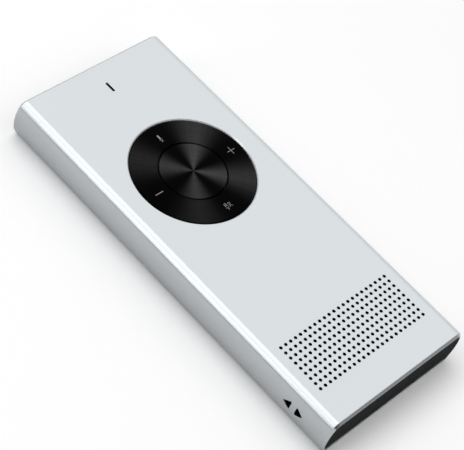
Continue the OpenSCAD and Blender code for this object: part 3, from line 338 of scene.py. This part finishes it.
def woven(name, colour, pitch):
    """Acoustic mesh: threads that go over and under one another."""
    f = Finish(name)
    x, y, _ = f.parts(f.at)
    across = f.math("SINE", f.times(x, math.pi / pitch))
    along = f.math("SINE", f.times(y, math.pi / pitch))
    weave = f.times(across, along)
    fibre = f.noise(f.at, 0.05)
    f.set(
        colour=f.mix(f.span(weave, -0.6, 0.6), shaded(colour, 0.5), shaded(colour, 1.4)),
        rough=f.spread(fibre, 0.75, 0.92),
        normal=f.bump(f.plus(f.math("ABSOLUTE", weave), f.times(fibre, 0.2)), 0.05),
    )
    return f


def circuit(name):
    """Solder mask with copper tracks and round vias just under it."""
    f = Finish(name, coat_weight=0.4)
    x, y, _ = f.parts(f.at)
    bend = f.times(f.noise(f.at, 7.0, detail=1), 9)
    waves = f.math("SINE", f.times(f.plus(f.plus(x, y), bend), 5.2))
    track = f.times(f.span(waves, 0.35, 0.5), f.span(f.noise(f.at, 5.0, detail=0), 0.45, 0.5))
    dots = f.node("ShaderNodeTexVoronoi")
    f.put(dots.inputs["Vector"], f.at)
    dots.inputs["Scale"].default_value = 0.45
    via = f.span(dots.outputs["Distance"], 0.1, 0.13, 1, 0)
    green = f.mix(track, (0.012, 0.075, 0.035), (0.02, 0.13, 0.055))
    f.set(
        colour=f.mix(via, green, (0.6, 0.48, 0.25)),
        rough=f.spread(f.noise(f.at, 0.4), 0.28, 0.4),
        normal=f.bump(f.plus(track, via), 0.02),
    )
    return f


def wound(name, colour, pitch):
    """Enamelled wire, turn upon turn, with painted shade in the grooves between the turns."""
    f = Finish(name, metal=1.0)
    z = f.parts(f.at)[2]
    turns = f.math("SINE", f.times(z, 2 * math.pi / pitch))
    tone = f.noise(f.at, 0.8)
    # Painted shade: the colour darkens between the turns, along with the bump
    f.set(
        colour=f.mix(f.span(f.plus(turns, tone), -0.6, 1.4), shaded(colour, 0.55), shaded(colour, 1.1)),
        rough=f.spread(tone, 0.25, 0.38),
        normal=f.bump(turns, 0.03),
    )
    return f


def jackets(name):
    """Silicone wire in red and black, one of each in a pair."""
    f = Finish(name)
    x = f.parts(f.at)[0]
    low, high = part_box("battery_leads")
    battery_middle = (low.x + high.x) / 2 / MM
    low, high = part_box("speaker_leads")
    speaker_middle = (low.x + high.x) / 2 / MM
    # The speaker's pair lies on the left of the body, and the battery's on the right
    on_left = f.math("LESS_THAN", x, 0.0)
    red = f.math("LESS_THAN", x, f.span(on_left, 0, 1, battery_middle, speaker_middle))
    dust = f.noise(f.at, 0.3, detail=3)
    f.set(
        colour=f.mix(red, grey(0.02), (0.45, 0.015, 0.015)),
        rough=f.spread(dust, 0.42, 0.58),
        normal=f.bump(dust, 0.01),
    )
    return f


def flex(name):
    """Copper pattern under amber film."""
    f = Finish(name, coat_weight=0.6)
    x, y, _ = f.parts(f.at)
    bars = f.times(f.span(f.math("SINE", f.times(x, 1.5)), -0.1, 0.1),
                   f.span(f.math("SINE", f.times(y, 4.0)), -0.3, -0.1))
    f.set(
        colour=f.mix(bars, (0.35, 0.16, 0.03), (0.62, 0.32, 0.14)),
        rough=f.spread(f.noise(f.at, 0.5, detail=3), 0.3, 0.42),
        normal=f.bump(bars, 0.015),
    )
    return f


def crumpled(name, colour):
    """Dull pouch foil with faint dents."""
    f = Finish(name, metal=1.0)
    dents = f.noise(f.at, 4.0, detail=3, rough=0.55)
    fine = f.noise(f.at, 0.25)
    f.set(
        colour=f.mix(f.spread(dents), shaded(colour, 0.9), shaded(colour, 1.05)),
        rough=f.spread(fine, 0.3, 0.42),
        normal=f.bump(fine, 0.01, f.bump(dents, 0.12)),
    )
    return f


# One for each material slot. Grain, depth, edge and pitch are lengths in millimetres.
FINISHES = {
    "aluminium_shell": lambda n: anodised(n, (0.745, 0.785, 0.808)),
    "aluminium_cover": lambda n: anodised(n, (0.735, 0.775, 0.798)),
    "black_tape": lambda n: moulded(n, grey(0.03), rough=0.6, grain=0.3, depth=0.02),
    "window_plastic": lambda n: moulded(n, (0.0095, 0.0115, 0.0135), rough=0.3, grain=0.1, depth=0.003,
                                        edge=0.12),
    "cap_plastic": lambda n: moulded(n, (0.026, 0.03, 0.029), rough=0.7, grain=0.16, depth=0.03,
                                     edge=0.12, specular=0.08),
    "smoked_acrylic": lambda n: moulded(n, (0.003, 0.003, 0.0035), rough=0.2, grain=0.4, depth=0.001,
                                        specular=0.12),
    "mesh_fabric": lambda n: woven(n, grey(0.006), pitch=0.16),
    "inner_plastic": lambda n: moulded(n, (0.012, 0.0125, 0.013), rough=0.6, grain=0.2, depth=0.02,
                                       specular=0.3),
    "key_plastic": lambda n: moulded(n, grey(0.015), rough=0.45, grain=0.2, depth=0.01),
    "spun_black": spun,
    "screw_steel": lambda n: metal(n, (0.55, 0.55, 0.56), rough=0.3, grain=0.06, depth=0.004),
    "dome_metal": lambda n: metal(n, (0.75, 0.6, 0.3), rough=0.22, grain=0.05, depth=0.003),
    "circuit_board": circuit,
    "tinned_steel": lambda n: metal(n, (0.62, 0.62, 0.63), rough=0.35, grain=0.12, depth=0.005,
                                    stretch=(12, 1, 1)),
    "chip_resin": lambda n: moulded(n, (0.02, 0.02, 0.022), rough=0.5, grain=0.12, depth=0.008),
    "ceramic": lambda n: moulded(n, (0.4, 0.3, 0.2), rough=0.4, grain=0.1, depth=0.006),
    "led_white": lambda n: moulded(n, (0.85, 0.85, 0.83), rough=0.2, grain=0.5, depth=0.002, vary=0.02),
    "boot_rubber": lambda n: moulded(n, grey(0.02), rough=0.75, grain=0.2, depth=0.02),
    "cell_foil": lambda n: crumpled(n, (0.72, 0.72, 0.73)),
    "white_tape": lambda n: moulded(n, (0.8, 0.8, 0.78), rough=0.7, grain=0.25, depth=0.02, vary=0.03),
    "lead_jacket": jackets,
    "connector_ivory": lambda n: moulded(n, (0.75, 0.71, 0.6), rough=0.4, grain=0.2, depth=0.005, vary=0.03),
    "speaker_plastic": lambda n: moulded(n, (0.04, 0.042, 0.045), rough=0.5, grain=0.2, depth=0.012),
    "cone_film": lambda n: moulded(n, grey(0.03), rough=0.35, grain=0.5, depth=0.006),
    "coil_copper": lambda n: wound(n, (0.72, 0.38, 0.2), pitch=0.16),
    "magnet_grey": lambda n: metal(n, (0.35, 0.35, 0.36), rough=0.25, grain=0.08, depth=0.002),
    "foam_black": lambda n: moulded(n, grey(0.015), rough=0.9, grain=0.25, depth=0.08),
    "flex_copper": flex,
}


def dress():
    """Gives every CAD node the finish of its material slot."""
    made = {slot: make(slot + "_finish") for slot, make in FINISHES.items()}
    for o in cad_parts.values():
        for s in o.material_slots:
            s.material = made[s.material.name.split(".")[0]].material


# ---------- icons ----------

class Icon:
    """Thin printed shapes on the ring's face, drawn in millimetres about the icon's own middle."""

    THICK = 0.03
    # Steps in a line's round end, and in an arc
    END_STEPS = 8
    ARC_STEPS = 14

    def __init__(self, name, x, y, ink):
        self.name, self.x, self.y, self.ink = name, x, y, ink
        self.bm = bmesh.new()

    def outline(self, points):
        """A plate of ink with these corners."""
        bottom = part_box("ring_face")[1].z
        base = [self.bm.verts.new(((self.x + px) * MM, (self.y + py) * MM, bottom)) for px, py in points]
        face = self.bm.faces.new(base)
        raised = bmesh.ops.extrude_face_region(self.bm, geom=[face])["geom"]
        corners = [g for g in raised if isinstance(g, bmesh.types.BMVert)]
        bmesh.ops.translate(self.bm, vec=(0, 0, self.THICK * MM), verts=corners)

    def stroke(self, points, width):
        """A line of that width with round ends."""
        r = width / 2
        left, right = [], []
        for i, p in enumerate(points):
            a = points[max(i - 1, 0)]
            b = points[min(i + 1, len(points) - 1)]
            way = (Vector(b) - Vector(a)).normalized()
            side = Vector((-way.y, way.x)) * r
            left.append(Vector(p) + side)
            right.append(Vector(p) - side)

        def cap(middle, start):
            spoke = start - Vector(middle)
            return [Vector(middle) + Matrix.Rotation(-math.pi * k / self.END_STEPS, 2) @ spoke
                    for k in range(1, self.END_STEPS)]

        self.outline(left + cap(points[-1], left[-1]) + right[::-1] + cap(points[0], right[0]))

    def arc(self, x, y, r, start, end, width):
        """A round line about a point, from one angle to another in degrees."""
        turns = [math.radians(start + (end - start) * k / self.ARC_STEPS) for k in range(self.ARC_STEPS + 1)]
        self.stroke([(x + r * math.cos(t), y + r * math.sin(t)) for t in turns], width)

    def ring(self, x, y, r, width):
        self.arc(x, y, r, 0, 180, width)
        self.arc(x, y, r, 180, 360, width)

    def done(self):
        bmesh.ops.recalc_face_normals(self.bm, faces=self.bm.faces)
        mesh = bpy.data.meshes.new(self.name)
        self.bm.to_mesh(mesh)
        self.bm.free()
        mesh.materials.append(self.ink.material)
        o = bpy.data.objects.new(self.name, mesh)
        bpy.context.scene.collection.objects.link(o)
        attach(o, "control_ring")


def add_icons():
    """The ring's four icons, each placed from the ring's middle. A stroke has its points and its width."""
    low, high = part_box("ring_face")
    cx, cy = (low.x + high.x) / 2 / MM, (low.y + high.y) / 2 / MM
    ink = moulded("icon_ink", (0.28, 0.28, 0.283), rough=0.55, grain=0.12, depth=0.002, vary=0.08)
    bar = 1.25
    icon = Icon("icon_microphone", cx - 0.35, cy + 12.75, ink)
    icon.stroke([(0, 0.2), (0, 1.3)], 0.5)
    icon.arc(0, 0.1, 0.5, 205, 335, 0.1)
    icon.stroke([(0, -0.4), (0, -0.75)], 0.1)
    icon.stroke([(-0.32, -0.8), (0.32, -0.8)], 0.1)
    icon.done()
    icon = Icon("icon_louder", cx + 13.8, cy - 0.4, ink)
    icon.stroke([(-bar, 0), (bar, 0)], 0.15)
    icon.stroke([(0, -bar), (0, bar)], 0.15)
    icon.done()
    icon = Icon("icon_softer", cx - 13.1, cy - 0.7, ink)
    icon.stroke([(-bar, 0), (bar, 0)], 0.2)
    icon.done()
    icon = Icon("icon_two_speakers", cx + 0.1, cy - 13.8, ink)
    for x in (-0.9, -0.4):
        icon.stroke([(x, 0.15), (x, 1.05)], 0.18)
    icon.arc(-0.65, 0.0, 0.5, 200, 340, 0.12)
    icon.stroke([(-0.65, -0.6), (-0.65, -1.05)], 0.14)
    icon.ring(0.55, 0.5, 0.34, 0.12)
    icon.arc(0.55, -0.7, 0.5, 20, 160, 0.12)
    icon.done()


# ---------- studio ----------

def add_floor():
    """Plain paper, a hair below the object.

    It is white to the eye, and greyer in reflections and in the light that it throws back up.
    """
    white, returned = (0.97, 0.97, 0.975), (0.38, 0.38, 0.385)
    in_mirrors = 0.42
    own_glow = 0.08
    half, height = 6.0, -0.00002
    mesh = bpy.data.meshes.new("floor")
    corners = [(-half, -half, height), (half, -half, height), (half, half, height), (-half, half, height)]
    mesh.from_pydata(corners, [], [(0, 1, 2, 3)])
    floor = bpy.data.objects.new("floor", mesh)
    bpy.context.scene.collection.objects.link(floor)
    material = bpy.data.materials.new("floor_paper")
    material.use_nodes = True
    t = Tree(material.node_tree)
    paper, glow = t.node("ShaderNodeBsdfDiffuse"), t.node("ShaderNodeEmission")
    rays = t.node("ShaderNodeLightPath").outputs
    mirrored = t.times(rays["Is Glossy Ray"], in_mirrors)
    seen = t.plus(t.plus(rays["Is Camera Ray"], mirrored), rays["Is Transmission Ray"], clamp=True)
    t.put(paper.inputs["Color"], t.mix(seen, returned, white))
    t.put(glow.inputs["Strength"], t.times(seen, own_glow))
    both = t.node("ShaderNodeAddShader")
    t.put(both.inputs[0], paper.outputs[0])
    t.put(both.inputs[1], glow.outputs[0])
    t.put(t.node("ShaderNodeOutputMaterial").inputs["Surface"], both.outputs[0])
    mesh.materials.append(material)


def add_sky():
    """A soft white dome, brighter to the right. Low down it is almost dark from the left to the near end."""
    world = bpy.data.worlds.new("studio")
    world.use_nodes = True
    bpy.context.scene.world = world
    t = Tree(world.node_tree)
    x, y, z = t.parts(t.node("ShaderNodeTexCoord").outputs["Generated"])
    far_right = t.plus(t.times(x, 0.5), t.times(y, 0.45))
    low = t.math("MAXIMUM", far_right, t.math("MAXIMUM", t.times(x, 0.42), 0.03))
    high = t.plus(t.times(x, 0.66), 0.61)
    raised = t.span(z, 0.35, 0.75, smooth=True)
    glow = t.node("ShaderNodeBackground")
    t.put(glow.inputs["Color"], (1, 1, 1, 1))
    t.put(glow.inputs["Strength"], t.plus(t.times(raised, high), t.times(t.minus(1.0, raised), low)))
    t.put(t.node("ShaderNodeOutputWorld").inputs["Surface"], glow.outputs[0])


def add_lamp(name, way, wide, long, radiance):
    """A softbox that faces the object from a direction, wide across the body. Radiance 1 is plain white."""
    distance = 2.0
    data = bpy.data.lights.new(name, "AREA")
    data.shape = "RECTANGLE"
    data.size, data.size_y = wide, long
    data.energy = radiance * math.pi * wide * long
    lamp = bpy.data.objects.new(name, data)
    way = Vector(way).normalized()
    along = (Vector((0, 1, 0)) - way * way.y).normalized()
    turn = Matrix((along.cross(way), along, way)).transposed()
    lamp.matrix_world = Matrix.Translation(way * distance) @ turn.to_4x4()
    bpy.context.scene.collection.objects.link(lamp)


def add_studio():
    add_floor()
    add_sky()
    add_lamp("lamp_over", (-0.2, 0.33, 0.92), wide=2.45, long=1.71, radiance=1.6)
    add_lamp("lamp_left", (-0.8, 0.31, 0.52), wide=1.25, long=0.7, radiance=2.35)
    bpy.context.scene.view_settings.view_transform = "Standard"


add_camera()
add_studio()
dress()
add_icons()
